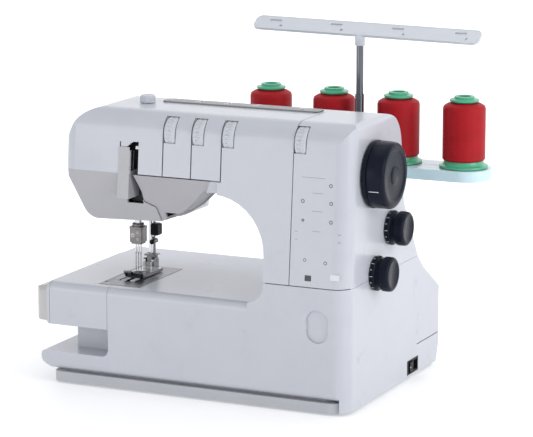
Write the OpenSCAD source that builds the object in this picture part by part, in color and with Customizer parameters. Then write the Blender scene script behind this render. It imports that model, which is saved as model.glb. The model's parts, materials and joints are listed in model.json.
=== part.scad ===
// Free-arm cover-stitch sewing machine with a four-cone thread stand.
// Every module is drawn in the body frame: x = 0 is the right side of the body and runs
// negative to the left, y = 0 is the lower front face, z = 0 is the table.
// machine() moves that frame so that the origin is under the middle of the whole object.

/* [Body] */
// Width of the body from its right side to the end of the free arm
body_w = 350; // [349:1:352]
// Height of the top of the head
body_h = 300; // [299:1:301]
// Width of the sewing head, measured from the right side
head_w = 334; // [332:0.5:336]
// Width of the column
column_w = 94.4; // [93:0.2:95]
// Depth of the lower body with its rear bulge
lower_depth = 264.5; // [263:0.5:266]
// Depth of the free arm and its bed
bed_depth = 203; // [200:1:205]
// Depth of the head
head_depth = 152; // [151:1:153]
// Height of the bed
bed_z = 110.5; // [110:0.5:111]
// Height of the joint between the lower and the upper casing
joint_z = 133; // [132.5:0.5:134]
// Underside of the free arm
arm_z = 65; // [64.5:0.5:65.5]
// Top of the slab under the free arm
slab_z = 35; // [34:1:36]
// Thickness of the casings
wall = 3; // [2.5:0.5:3]

/* [Drive] */
// Distance of the shafts from the lower front face
shaft_y = 66; // [66:1:67]
// Height of the main shaft
shaft_z = 244; // [243:1:245]
// Height of the lower shaft
lower_shaft_z = 80; // [79:1:81]
// Radius of the main shaft
shaft_r = 6; // [6:0.5:6.5]
// Radius of the hand wheel
wheel_r = 35.4; // [34:0.2:36]

/* [Needle and foot] */
// Needle bar, from the right side of the body to its left
needle_x = 273; // [272:1:274]
// Presser bar, from the right side of the body to its left
presser_x = 271; // [270:1:272]
// Distance of the presser bar from the lower front face
presser_y = 95; // [94:1:96]
// Radius of both bars
bar_r = 4; // [3.8:0.1:4]
// Distance between two needles
needle_gap = 3; // [2.5:0.5:3]

/* [Dials] */
// Radius of the tension dials
dial_r = 17; // [16:0.25:17.5]
// Width of the tension dials
dial_w = 12; // [11:0.5:12]
// Radius of the two knobs on the right side
knob_r = 18.4; // [17:0.2:18.4]

/* [Thread stand] */
// Distance between two cones
cone_gap = 76.1; // [75:0.1:77]
// Radius of a cone's base
cone_base_r = 26.5; // [26:0.25:27]
// Radius of the wound thread
thread_r = 23.2; // [22:0.2:23.4]
// Height of a cone
cone_h = 77; // [76:1:78]
// Top of the spool shelf
shelf_z = 228; // [227:1:229]
// Length of the thread guide bar
guide_len = 263; // [262:1:265]

/* [Hidden] */
$fn = 64;
far = 500;
lean = 0.085;            // slope of the upper front face
end_cap_t = 17;
base_z = 15;             // bottom edge of the lower casing
foot_h = 2;
gap = 0.4;               // clearance between pieces that move past each other
fit_gap = 0.06;          // radial clearance of a running fit
panel_x = 64.7;          // the seam between the head casing and the column panel
split_y = 90;            // the seam between the front and rear upper casings
seam = 0.9;              // width of the grooves between the casings
motor_y = 205;
motor_z = 62;
pulley_r = 18;
motor_pulley_r = 8;
drive_wheel_r = 24;
dial_y = 26.7;
dial_z = 278.5;
dial_xs = [206.5, 173.5, 139, 57.5];
stitch_knob = [114, 179];
feed_knob = [74, 138];
presser_dial = [263, 72];
stand_x = 74.65;         // middle of the thread stand
shelf_half = 145;
cone_y = 224.5;
pole_y = 206;
pin_r = 2.8;
rod_r = 3.85;
guide_z = 368;
guide_tilt = 33;
switch_y = 175.5;
lifter = [262, 206];
foot_pivot = [91, 123.5];
lever_pivot = [48, 252];
case_white = [0.86, 0.88, 0.92];
steel = [0.6, 0.61, 0.63];
navy = [0.1, 0.11, 0.16];

// ---- Outlines: lists of corners [x, y, radius] that run anticlockwise ----
function corner(p, i) = p[(i + len(p)) % len(p)];
function xy(c) = [c[0], c[1]];
function unit(v) = v / norm(v);
function left_of(v) = [-v[1], v[0]];
function turned(v, a) = [v[0] * cos(a) - v[1] * sin(a), v[0] * sin(a) + v[1] * cos(a)];
function way_in(p, i) = unit(xy(p[i]) - xy(corner(p, i - 1)));
function way_out(p, i) = unit(xy(corner(p, i + 1)) - xy(p[i]));

// The outline moved inwards by t
function inset(p, t) = [for (i = [0 : len(p) - 1])
  let (a = way_in(p, i), b = way_out(p, i),
       c = xy(p[i]) + t * (left_of(a) + left_of(b)) / (1 + left_of(a) * left_of(b)),
       r = p[i][2] - sign(cross(a, b)) * t)
  [c[0], c[1], p[i][2] > 0 ? max(r, 0.4) : 0]];

// The outline's points, with an arc at each rounded corner
function rounded(p, steps = 9) = [for (i = [0 : len(p) - 1])
  let (a = way_in(p, i), b = way_out(p, i), r = p[i][2],
       turn = atan2(cross(a, b), a * b), side = sign(turn),
       middle = xy(p[i]) - a * r * tan(abs(turn) / 2) + side * r * left_of(a))
  for (k = [0 : r > 0 ? steps : 0])
    r > 0 ? middle + turned(-side * r * left_of(a), turn * k / steps) : xy(p[i])];

function lean_y(z) = lean * (z - joint_z);

module machine() translate([148.3, -132.25, 0]) children();

// Prisms of an outline in (x, z), (y, z) and (x, y)
module front_prism(p, y0, y1)
  translate([0, y1, 0]) rotate([90, 0, 0]) linear_extrude(y1 - y0) polygon(p);
module side_prism(p, x0, x1)
  translate([x0, 0, 0]) rotate([90, 0, 90]) linear_extrude(x1 - x0) polygon(p);
module plan_prism(p, z0, z1) translate([0, 0, z0]) linear_extrude(z1 - z0) polygon(p);
module box(lo, hi) translate(lo) cube(hi - lo);
// A cylinder along X, Y or Z from a to b, whose axis passes the point (u, v)
module x_rod(r, a, b, u, v) translate([a, u, v]) rotate([0, 90, 0]) cylinder(r = r, h = b - a);
module y_rod(r, a, b, u, v) translate([u, b, v]) rotate([90, 0, 0]) cylinder(r = r, h = b - a);
module z_rod(r, a, b, u, v) translate([u, v, a]) cylinder(r = r, h = b - a);
// A solid turned about the X axis, from a profile of [radius, x]
module x_turned(profile, y, z)
  translate([0, y, z]) rotate([0, 90, 0]) rotate_extrude() polygon(profile);

// ---- Forms of the casings: t is the inset, so t = wall gives the hollow ----
function upper_front(bottom) = [[0, bottom, 0], [0, body_h, 7], [-311, body_h, 36],
  [-head_w, 262, 20], [-head_w - 0.01, 248, 30], [-313, 178, 15], [-217, 181.8, 30],
  [-192, 197, 20], [-168, 220, 4], [-column_w, 220, 60], [-column_w, bottom, 0]];
function upper_side(bottom) = [[lean_y(bottom), bottom, 0],
  [194 + 0.6 * (joint_z - bottom), bottom, 0], [head_depth, 200, 24],
  [139, body_h, 38], [lean_y(body_h), body_h, 24]];
upper_corners = [[0, 0, 18], [0, far, 0], [-head_w, far, 0], [-head_w, 0, 18]];
upper_plan = [[0, -far, 0], [0, far / 2, 0], [-column_w, far / 2, 0],
  [-column_w, head_depth, 12], [-head_w, head_depth, 34], [-head_w, -far, 0]];

// The lower front of the head slants back below this line
chin_z = 234;
chin_slope = 0.4;
module chin(t) {
  slant = unit([chin_slope, -1]);
  top = [lean_y(chin_z), chin_z] + t * left_of(slant);
  side_prism([[-60, top[1]], [-60, top[1] - 100], top + 100 * slant / -slant[1], top],
    -far, -150 + t);
}

module upper_form(t) {
  bottom = t > 0 ? joint_z - 2 * t : joint_z + 0.3;
  difference() {
    intersection() {
      front_prism(rounded(inset(upper_front(bottom - t), t)), -1, far);
      side_prism(rounded(inset(upper_side(bottom - t), t)), -far, far);
      translate([0, 0, joint_z]) rotate([-atan(lean), 0, 0])
        plan_prism(rounded(inset(upper_corners, t)), -50, far / 2);
      plan_prism(rounded(inset(upper_plan, t)), 0, far);
    }
    chin(t);
    under_cut(t);
  }
}

function lower_front(bottom, top) = [[-347, bottom, 0], [0, bottom, 0], [0, top, 0],
  [-column_w, top, 0], [-column_w, bed_z, 18], [-body_w, bed_z, 4], [-body_w, arm_z, 3],
  [-276, arm_z, 2], [-276, slab_z, 8], [-356, slab_z, 4], [-361, 28, 4]];
function lower_side(bottom, top) = [[0, bottom, 0], [250 + 0.41 * (bottom - 3), bottom, 0],
  [lower_depth, 38, 20], [lower_depth, 83, 14], [211, 117, 18],
  [194 + 0.6 * (joint_z - top), top, 0], [0, top, 0]];
lower_plan = [[0, 0, 18], [0, lower_depth + 1, 10], [-column_w, lower_depth + 1, 16],
  [-column_w, bed_depth, 8], [-361, bed_depth, 10], [-361, 0, 8]];

module lower_form(t) {
  bottom = t > 0 ? -6 : base_z;
  top = joint_z + 6 * t;
  intersection() {
    union() {
      difference() {
        union() {
          intersection() {
            front_prism(rounded(inset(lower_front(bottom, top), t)), 0, bed_depth - t);
            box([-far, t, -far], [t - column_w, far, far]);
          }
          side_prism(rounded(inset(lower_side(bottom, top), t)), -column_w + t, -t);
        }
        bottom_edge(t);
      }
      // skirt of the right side, in front of the base plate's edge
      side_prism(rounded(inset(lower_side(t > 0 ? -6 : 3, top), t)), -9, -t);
      box([-329 + t, 30 + t, slab_z - 2 * t], [-270, bed_depth - t, arm_z + 2 * t]);
    }
    plan_prism(rounded(inset(lower_plan, t)), -far, far);
  }
}

// Rounds the bottom of the front
module bottom_edge(t) {
  r = 10;
  translate([0, r, base_z + r]) difference() {
    box([-far, -r - 1, -r - far], [-9, 0, 0]);
    x_rod(r - t, -far - 1, 0, 0, 0);
  }
}

module upper_shell() difference() { upper_form(0); upper_form(wall); }

// Rounds the front edge of the bed
module bed_edge() {
  r = 9;
  translate([0, r, bed_z - r]) difference() {
    box([-far, -r - 1, 0], [-column_w - 18, 0, r + 1]);
    x_rod(r, -far - 1, 0, 0, 0);
  }
}

// Space of the looper cover in the (y, z) plane, grown by g
function cover_space(g) = [[-5, 60], [6 + 3 * g, 60], [6 + 3 * g, 98 - g], [14 + g, 98 - g],
  [14 + g, 115], [-5, 115]];
cover_x0 = -346.4;
cover_x1 = -277;

module inlet_space(g) box([-20 - g, 166 - g, 5.5 - g], [2, 197 + g, 21.5 + g]);

// ---- Casings ----
module base_plate() color([0.8, 0.82, 0.86]) difference() {
  union() {
    base_layer(3.4, 1.5, foot_h, 13);
    base_layer(10.6, 10.6, 13, base_z);
  }
  inlet_space(0);
}

// A layer of the base plate, in from the casing by s at the sides and f at the front
module base_layer(s, f, z0, z1) plan_prism(rounded([[-s, f, 19], [-s, 246 - s, 16],
  [-column_w + s, 246 - s, 8], [-column_w + s, bed_depth - s, 4],
  [-348 + s, bed_depth - s, 8], [-348 + s, f, 9]]), z0, z1);

module rubber_feet() color([0.12, 0.12, 0.13])
  for (x = [-326, -24]) for (y = [26, 182]) z_rod(9, 0, foot_h, x, y);

module lower_casing() color(case_white) difference() {
  lower_form(0);
  difference() {
    lower_form(wall);
    // lugs that carry the hinge of the looper cover
    box([cover_x1 + gap, 0, arm_z], [cover_x1 + 4, 9, arm_z + 9]);
  }
  bed_edge();
  side_prism(cover_space(gap), cover_x0 - gap, cover_x1 + gap);
  x_rod(1.5 + fit_gap, cover_x0 - 2, cover_x1 + 2.5, 3.5, arm_z + 2.5);
  box([-295.2, 15.8, bed_z - 5], [-245.8, 118.2, bed_z + 5]);
  box([-column_w, bed_depth - 9, 34.2], [far, far, far]);
  inlet_space(0);
  finger_recess();
}

// The oval recess for a finger in the front of the casing
module finger_recess() translate([-33, 0, 93]) difference() {
  for (s = [-1, 1]) translate([0, 0, s * 5]) sphere(r = 12.5);
  box([-20, wall - 0.8, -30], [20, 30, 30]);
}

module rear_motor_cover() color(case_white) difference() {
  lower_form(0);
  lower_form(wall);
  box([-far, -1, -1], [far, bed_depth - 9, far]);
  box([-far, 0, -far], [far, far, 35.4]);
  box([-far, -1, -1], [-column_w, far, far]);
  for (i = [0 : 5]) box([-80, bed_depth, 52 + 6 * i], [-20, far, 54.5 + 6 * i]);
}

module arm_end_cap() color([0.87, 0.86, 0.83]) {
  side = [[3, arm_z + 0.6, 7], [198, arm_z + 0.6, 7], [198, 105.5, 9], [3, 105.5, 9]];
  x1 = -body_w - end_cap_t;
  difference() {
    intersection() {
      side_prism(rounded(side), x1, -body_w);
      plan_prism(rounded([[-body_w, 2, 0], [-body_w, 199, 0], [x1, 197, 12], [x1, 4, 12]]),
        0, far);
      front_prism(rounded([[-body_w, arm_z, 0], [-body_w, 106, 0], [x1, 103.5, 6],
        [x1, arm_z + 3, 9]]), 0, far);
    }
    side_prism(rounded(inset(side, 2 * wall)), x1 + wall, -body_w + 1);
  }
}

module looper_cover() color(case_white) {
  difference() {
    intersection() {
      difference() { lower_form(0); lower_form(wall); }
      side_prism(cover_space(0), cover_x0, cover_x1);
    }
    bed_edge();
  }
  x_rod(1.5, cover_x0 - 1.6, cover_x1 + 2, 3.5, arm_z + 2.5);
}

// Opening of the grey cover in front of the needle bar
bowl = [[-158, 234.2, 0], [-250, 234.2, 0], [-243.5, 214, 8], [-243, 203, 4],
  [-229, 197, 5], [-224, 170, 0], [-166, 170, 0], [-166, 219, 0]];
module bowl_space(g) front_prism(rounded(inset(bowl, -g), 4), -5, 62 + g);
// Behind the bowl the underside of the head is higher
module under_cut(t) plan_prism([[-190 - t, 63 - t], [-154, 63 - t], [-154, 170],
  [-238 - t, 170]], 100, 219.9 + t);
module slot_space(x, w) box([-x - w / 2, -5, 234], [-x + w / 2, 24, far]);

module head_casing() color(case_white) difference() {
  union() {
    upper_shell();
    // rib beside the channel of the take-up lever
    side_prism([[lean_y(207), 207], [34, 207], [30, 236], [lean_y(236), 236]], -266.5, -253);
  }
  box([-far, split_y, 0], [1, far, far]);
  box([-panel_x - seam / 2, -1, 0], [1, far, far]);
  bowl_space(0);
  // slot of the take-up lever and the channel under it
  box([-252.6, -5, 207], [-242.6, 36, 266.5]);
  box([-262, -5, 200.5], [-243, 36, 207.3]);
  front_prism([[-265, 267.6], [-265, 258.2], [-242.6, 258.2], [-242.6, 268.2],
    [-249.5, 267.8], [-256, 262.6], [-263.2, 262.2], [-263.6, 267.6]], -5, 22);
  front_groove();
  // gap above the grey cover
  box([-159, -5, 232.8], [-146, 12, 234.2]);
  // thread slots and windows of the tension dials
  for (i = [0 : 2]) {
    slot_space(dial_xs[i] + dial_w / 2 + 1.6, 1.4);
    dial_space(i);
  }
  bar_holes();
  z_rod(3.4, 250, far, -presser_dial[0], presser_dial[1]);
}

// The wide seam between the casings at the front
module front_groove() box([-far, -5, 0], [1, 12, joint_z + seam]);

module dial_space(i) x_rod(dial_r + 0.8, -dial_xs[i] - dial_w / 2 - 0.8,
  -dial_xs[i] + dial_w / 2 + 0.8, dial_y, dial_z);

module bar_holes() {
  z_rod(6.5, 170, 200, -needle_x, shaft_y);
  z_rod(6.5, 170, 200, -presser_x, presser_y);
}

module column_panel() color(case_white) difference() {
  upper_shell();
  box([-far, split_y, 0], [1, far, far]);
  box([-far, -50, 0], [-panel_x + seam / 2, far, far]);
  front_groove();
  dial_space(3);
  x_rod(shaft_r + 2, -10, 1, shaft_y, shaft_z);
  x_rod(3.5, -10, 1, feed_knob[0], feed_knob[1]);
}

module upper_rear_cover() color(case_white) difference() {
  upper_shell();
  box([-far, -50, 0], [1, split_y, far]);
  x_rod(3.5, -10, 1, stitch_knob[0], stitch_knob[1]);
  y_rod(4.6, head_depth - 20, head_depth + 20, -lifter[0], lifter[1]);
  bar_holes();
}

module needle_head_cover() color([0.83, 0.85, 0.89]) difference() {
  intersection() {
    difference() { upper_form(1.5); upper_form(1.5 + wall); }
    bowl_space(-0.3);
    box([-far, -far, 0], [0, far, 232.6]);
  }
  box([-220, 27, 170], [-196, 41, 198]);                        // window of the lamp
}

module top_thread_plate() color(steel) difference() {
  plan_prism(rounded([[-69, 82, 5], [-69, 101, 5], [-251.5, 101, 5], [-251.5, 82, 5]]),
    body_h, body_h + 1.6);
  for (x = dial_xs) for (y = [87, 95]) if (x > 70) z_rod(1.6, body_h - 1, body_h + 3, -x - 4, y);
  for (x = [90, 246]) z_rod(1.6, body_h - 1, body_h + 3, -x, 91.5);
}

module arm_frame() color([0.7, 0.71, 0.73]) difference() {
  y0 = 45;
  y1 = 100;
  union() {
    box([-240, y0, 266], [-12, y1, 272]);                       // top beam
    box([-240, y0, 192], [-232, y1, 266]);                      // head plate
    box([-40, y0, 226], [-32, y1, 266]);                        // plate by the hand wheel
    box([-60, y0, base_z], [-52, y1, 266]);                     // column wall
    x_rod(2 - fit_gap, -249, -239, lever_pivot[0], lever_pivot[1]);
    box([-240, y0, base_z], [-20, y1, base_z + 6]);             // base beam
    box([-240, y0, base_z], [-232, 112, 96]);                   // arm plate
    box([-272, 104, 74], [-232, 112, 96]);                      // bearing of the looper shaft
    for (z = [192, 236]) {
      box([-290, 52, z], [-262, 106, z + 8]);
      box([-290, 84, z], [-232, 106, z + 8]);
    }
  }
  for (x = [-241, -41, -61]) x_rod(shaft_r + 3, x, x + 10, shaft_y, shaft_z);
  for (x = [-241, -61]) x_rod(shaft_r + 2, x, x + 10, shaft_y, lower_shaft_z);
  z_rod(bar_r + fit_gap, 190, 250, -needle_x, shaft_y);
  z_rod(bar_r + fit_gap, 190, 250, -presser_x, presser_y);
  y_rod(3 + fit_gap, 100, 115, -262, 84);
}

module shaft_bushes() color([0.75, 0.6, 0.35]) {
  for (x = [-240, -40]) difference() {
    x_rod(shaft_r + 3, x, x + 8, shaft_y, shaft_z);
    x_rod(shaft_r + fit_gap, x - 1, x + 9, shaft_y, shaft_z);
  }
  for (x = [-240, -60]) difference() {
    x_rod(shaft_r + 2, x, x + 8, shaft_y, lower_shaft_z);
    x_rod(5 + fit_gap, x - 1, x + 9, shaft_y, lower_shaft_z);
  }
}

// ---- Main shaft and what turns with it ----
module main_shaft() color(steel) x_rod(shaft_r, -256, 18, shaft_y, shaft_z);

module hand_wheel() color(navy) x_turned([[0, 25.5], [0, 18], [shaft_r, 18], [shaft_r, 1.5],
  [wheel_r - 1, 1.5], [wheel_r, 2.5], [wheel_r, 6], [wheel_r - 0.6, 20],
  [wheel_r - 1.6, 24], [wheel_r - 4, 25.5]], shaft_y, shaft_z);

module shaft_wheel(r, hole_r, x0, x1, z) difference() {
  x_rod(r, x0, x1, shaft_y, z);
  x_rod(hole_r, x0 - 1, x1 + 1, shaft_y, z);
}

module upper_pulley() color(steel) shaft_wheel(pulley_r, shaft_r, -80, -68, shaft_z);

module needle_crank() color(steel) {
  shaft_wheel(14, shaft_r, -256, -249, shaft_z);
  x_rod(2.5, -261, -256, shaft_y, shaft_z + 10);
}

// A belt round two wheels on X axes at (y, z) = a and b
module belt(a, ra, b, rb, t, x0, x1) color([0.1, 0.1, 0.1])
  translate([x0, 0, 0]) rotate([90, 0, 90]) linear_extrude(x1 - x0) difference() {
    hull() { translate(a) circle(ra + t); translate(b) circle(rb + t); }
    hull() { translate(a) circle(ra); translate(b) circle(rb); }
  }

module timing_belt() belt([shaft_y, shaft_z], pulley_r + gap, [shaft_y, lower_shaft_z],
  pulley_r + gap, 1.6, -79, -69);

module lower_shaft() color(steel) x_rod(5, -244, -40, shaft_y, lower_shaft_z);

module lower_pulley() color(steel) difference() {
  union() {
    x_rod(pulley_r, -80, -68, shaft_y, lower_shaft_z);
    x_rod(drive_wheel_r, -88, -80.5, shaft_y, lower_shaft_z);
    x_rod(12, -81, -79, shaft_y, lower_shaft_z);
  }
  x_rod(5, -90, -60, shaft_y, lower_shaft_z);
}

module motor() color([0.35, 0.36, 0.38]) {
  difference() {
    union() {
      x_rod(25, -74, -14, motor_y, motor_z);
      box([-66, motor_y - 15, base_z], [-22, motor_y + 15, motor_z - 15]);
    }
    x_rod(3 + fit_gap, -75, -20, motor_y, motor_z);
  }
}

module motor_pulley() color(steel) {
  x_rod(motor_pulley_r, -87.5, -80.5, motor_y, motor_z);
  x_rod(3, -81, -24, motor_y, motor_z);
}

module motor_belt() belt([shaft_y, lower_shaft_z], drive_wheel_r + gap, [motor_y, motor_z],
  motor_pulley_r + gap, 1.4, -87, -81.5);

// ---- Needles and foot ----
module needle_bar() color(steel) z_rod(bar_r, 160, 286, -needle_x, shaft_y);

module needle_clamp() color(steel) difference() {
  union() {
    box([-needle_x - 8, shaft_y - 7, 147], [-needle_x + 8, shaft_y + 7, 166]);
    z_rod(6.5, 166, 169.5, -needle_x, shaft_y);
  }
  z_rod(bar_r, 160, 170, -needle_x, shaft_y);
  for (i = [-1 : 1]) z_rod(1, 146, 158, -needle_x + needle_gap * i, shaft_y);
}

module needles() color([0.8, 0.8, 0.82]) for (i = [-1 : 1])
  translate([-needle_x + needle_gap * i, shaft_y, 0]) {
    z_rod(1, 136, 158, 0, 0);
    z_rod(0.6, 120, 136, 0, 0);
    translate([0, 0, 116]) cylinder(r1 = 0.12, r2 = 0.6, h = 4);
  }

module take_up_lever() color(steel) difference() {
  union() {
    x_rod(5, -247.5, -243.5, lever_pivot[0], lever_pivot[1]);
    side_prism([[45, 250], [49, 255.5], [14, 263.5], [13, 260]], -247.5, -243.5);
  }
  x_rod(2, -248, -243, lever_pivot[0], lever_pivot[1]);
  x_rod(1, -248, -243, 16, 261.2);
}

module presser_bar() color(steel) z_rod(bar_r, 130, 270, -presser_x, presser_y);

// A helical spring round the presser bar, between its two guides
module presser_spring() color(steel) {
  turns = 6;
  ring = 10;
  coil_r = 6.3;
  wire_r = 0.7;
  z0 = 202;
  rise = 32;
  n = turns * 14;
  points = [for (i = [0 : n]) let (a = 360 * turns * i / n) for (k = [0 : ring - 1])
    let (b = 360 * k / ring, r = coil_r + wire_r * cos(b))
    [r * cos(a), r * sin(a), z0 + rise * i / n + wire_r * sin(b)]];
  sides = [for (i = [0 : n - 1]) for (k = [0 : ring - 1])
    let (m = (k + 1) % ring) [ring * i + k, ring * i + m, ring * (i + 1) + m, ring * (i + 1) + k]];
  ends = [[for (k = [ring - 1 : -1 : 0]) k], [for (k = [0 : ring - 1]) ring * n + k]];
  translate([-presser_x, presser_y, 0]) polyhedron(points, [for (f = concat(sides, ends))
    [for (j = [len(f) - 1 : -1 : 0]) f[j]]]);
}

module foot_holder() color([0.5, 0.51, 0.53]) {
  difference() {
    box([-presser_x - 6, presser_y - 8, 122], [-presser_x + 6, presser_y + 6, 131]);
    box([-presser_x - 5, presser_y - 3, 130], [-presser_x + 6.5, presser_y + 8, 150]);
    z_rod(bar_r, 130, 151, -presser_x, presser_y);
    box([-presser_x - 8, presser_y - 9, 121], [-presser_x - 3, presser_y + 7, 129]);
    box([-presser_x + 3, presser_y - 9, 121], [-presser_x + 8, presser_y + 7, 129]);
  }
  x_rod(1.5, -presser_x - 6.4, -presser_x + 6.4, foot_pivot[0], foot_pivot[1]);
  // clamp screw
  y_rod(2.4, presser_y - 11, presser_y - 2.2, -presser_x + 6, 146);
}

module presser_foot() color([0.72, 0.72, 0.74]) difference() {
  x0 = -presser_x - 12;
  x1 = -presser_x + 11;
  union() {
    side_prism(rounded([[54, 111.7, 0], [98, 111.7, 1], [98, 115, 1], [61, 115, 4],
      [51, 119.5, 0], [50, 117.5, 0]], 3), x0, x1);
    for (x = [-presser_x - 6.5, -presser_x + 3.5])
      side_prism(rounded([[85, 113, 0], [97, 113, 0], [97, 127, 3], [85, 127, 3]], 4), x, x + 3);
  }
  box([-needle_x - 6, 60, 100], [-needle_x + 6, 72, 130]);                 // needle opening
  box([-needle_x - 1.5, 40, 100], [-needle_x + 1.5, 61, 130]);             // toe slot
  x_rod(1.5 + fit_gap, -presser_x - 10, -presser_x + 10, foot_pivot[0], foot_pivot[1]);
}

module presser_lifter() color([0.15, 0.15, 0.17]) {
  y_rod(4, 110, head_depth + 2, -lifter[0], lifter[1]);
  front_prism(rounded([[-lifter[0] - 7, lifter[1] - 7, 6], [-lifter[0] + 46, lifter[1] - 5, 5],
    [-lifter[0] + 46, lifter[1] + 5, 5], [-lifter[0] - 7, lifter[1] + 7, 6]]),
    head_depth + 2, head_depth + 7);
}

module needle_plate() color([0.5, 0.52, 0.55]) difference() {
  box([-295, 16, bed_z - 2.6], [-246, 118, bed_z + 0.4]);
  box([-needle_x - 6, 62, 100], [-needle_x + 6, 70, 120]);
  box([-needle_x - 10, 74, 100], [-needle_x + 10, 98, 120]);
  box([-needle_x - 10, 38, 100], [-needle_x + 10, 58, 120]);
  for (y = [24, 110]) z_rod(2.5, 100, 120, -needle_x - 16.5, y);
}

// A toothed bar of n teeth along Y, from y0
module feed_dog(y0, n) {
  pitch = 2;
  top = bed_z + 0.7;
  profile = concat([[y0 + n * pitch, 100], [y0 + n * pitch, top - 1]],
    [for (i = [n - 1 : -1 : 0]) each [[y0 + i * pitch + 0.6, top], [y0 + i * pitch, top - 1]]],
    [[y0, 100]]);
  for (x = [-8, 2.5]) side_prism(profile, -needle_x + x, -needle_x + x + 5.5);
  box([-needle_x - 8, y0, 97], [-needle_x + 8, y0 + n * pitch, 100.01]);
}

module main_feed_dog() color(steel) feed_dog(77, 9);
module differential_feed_dog() color(steel) feed_dog(41, 7);

module looper() color(steel) {
  y_rod(3, 67, 112, -262, 84);
  front_prism(rounded([[-266, 80, 3], [-258, 80, 3], [-259, 100, 2], [-261, 103.5, 1],
    [-284, 101.5, 0.4], [-284, 100.5, 0.4], [-266, 98, 1]], 4), 68, 71);
}

// ---- Dials ----
module pressure_dial() color([0.9, 0.92, 0.95]) {
  z_rod(8.4, body_h + 0.5, body_h + 8.5, -presser_dial[0], presser_dial[1]);
  z_rod(3, body_h - 20, body_h + 1, -presser_dial[0], presser_dial[1]);
}

module tension_dial(i) color([0.9, 0.91, 0.94]) difference() {
  x_rod(dial_r, -dial_xs[i] - dial_w / 2, -dial_xs[i] + dial_w / 2, dial_y, dial_z);
  x_rod(2.5 + fit_gap, -far, far, dial_y, dial_z);
}

module tension_discs() color([0.75, 0.75, 0.78]) for (x = dial_xs) {
  left = -x - dial_w / 2;
  x_rod(2.5, left - 5, -x + dial_w / 2 + 2, dial_y, dial_z);
  x_rod(10.6, left - 3.4, left - 2.2, dial_y, dial_z);
  x_rod(10.6, left - 0.9, left - 0.4, dial_y, dial_z);
}

module side_knob(at) color(navy) {
  x_turned([[0, 21], [0, 0.8], [knob_r, 0.8], [knob_r, 5.6], [knob_r - 3.4, 7.2],
    [knob_r - 3.4, 9], [knob_r - 0.2, 10.8], [knob_r - 0.2, 18.8], [knob_r - 2.2, 21]],
    at[0], at[1]);
  x_rod(3, -14, 1, at[0], at[1]);
}

// ---- Electrical pieces ----
module power_inlet() color([0.07, 0.07, 0.08]) {
  difference() {
    box([-20, 166, 5.5], [0.3, 197, 21.5]);
    box([-7, 170, 7], [1, 181, 20]);
    box([-14, 184, 8], [1, 195, 19]);
  }
  z_rod(1, 6.5, 20.5, -2, switch_y);
}

module power_switch() color([0.12, 0.12, 0.13])
  translate([-2, switch_y, 13.5]) difference() {
    box([-3, -4, -5.5], [3.4, 4, 5.5]);
    for (s = [-1, 1]) translate([5.2, s * 4, 0]) rotate([0, 0, s * 12])
      cube([3, 9, 12], center = true);
    z_rod(1 + fit_gap, -9, 9, 0, 0);
  }

module sewing_lamp() color([1, 0.97, 0.85]) {
  x_rod(6, -218, -198, 34, 205);
  translate([-218, 34, 205]) sphere(r = 6);
}

// ---- Thread stand ----
module spool_shelf() color(case_white) difference() {
  y0 = cone_y - 28.5;
  y1 = cone_y + 28.5;
  union() {
    difference() {
      plan_prism(rounded(shelf_outline(0, y0, y1)), shelf_z - 12, shelf_z);
      plan_prism(rounded(shelf_outline(wall, y0, y1)), shelf_z - 13, shelf_z - 4);
    }
    // bracket that carries the shelf on the rear cover
    for (x = [-132, -36]) difference() {
      box([x, 140, shelf_z - 12], [x + 18, y0 + 1, shelf_z - 4]);
      upper_form(0);
    }
  }
  for (i = [0 : 3]) z_rod(pin_r, shelf_z - 5, shelf_z + 1, cone_x(i), cone_y);
}

function cone_x(i) = -stand_x + cone_gap * (i - 1.5);
function shelf_outline(t, y0, y1) = inset([[-stand_x + shelf_half, y0, 28],
  [-stand_x + shelf_half, y1, 28], [-stand_x - shelf_half, y1, 28],
  [-stand_x - shelf_half, y0, 28]], t);

module spool_pins() color([0.85, 0.86, 0.88])
  for (i = [0 : 3]) z_rod(pin_r, shelf_z - 4, shelf_z + 64, cone_x(i), cone_y);

module cone_core(i) color([0.3, 0.75, 0.5]) translate([cone_x(i), cone_y, shelf_z])
  rotate_extrude() polygon([[pin_r + fit_gap, 0.5], [cone_base_r, 0.5], [cone_base_r, 3],
    [22.6, 4.2], [21.4, 8], [15, 8], [12, cone_h - 6], [16, cone_h - 5], [16, cone_h - 3],
    [11, cone_h - 2.5],
    [11, cone_h + 0.5], [pin_r + fit_gap, cone_h + 0.5]]);

module cone_thread(i) color([0.72, 0.08, 0.12]) translate([cone_x(i), cone_y, shelf_z])
  rotate_extrude() polygon([[15, 8], [thread_r, 8.8], [thread_r, cone_h - 13],
    [thread_r - 1.4, cone_h - 9.5], [thread_r - 4.5, cone_h - 7], [12, cone_h - 6]]);

module pole_tube() color([0.35, 0.36, 0.4]) difference() {
  union() {
    z_rod(4.8, shelf_z, 303, -stand_x, pole_y);
    z_rod(8, shelf_z, shelf_z + 6, -stand_x, pole_y);
  }
  z_rod(rod_r + fit_gap, shelf_z + 2, 304, -stand_x, pole_y);
}

module pole_rod() color([0.35, 0.36, 0.4]) z_rod(rod_r, 287, 362, -stand_x, pole_y);

// Places a child in the plane of the guide bar
module guide_plane() rotate([guide_tilt, 0.8, 0]) translate([5, 6, 0]) children();

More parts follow.
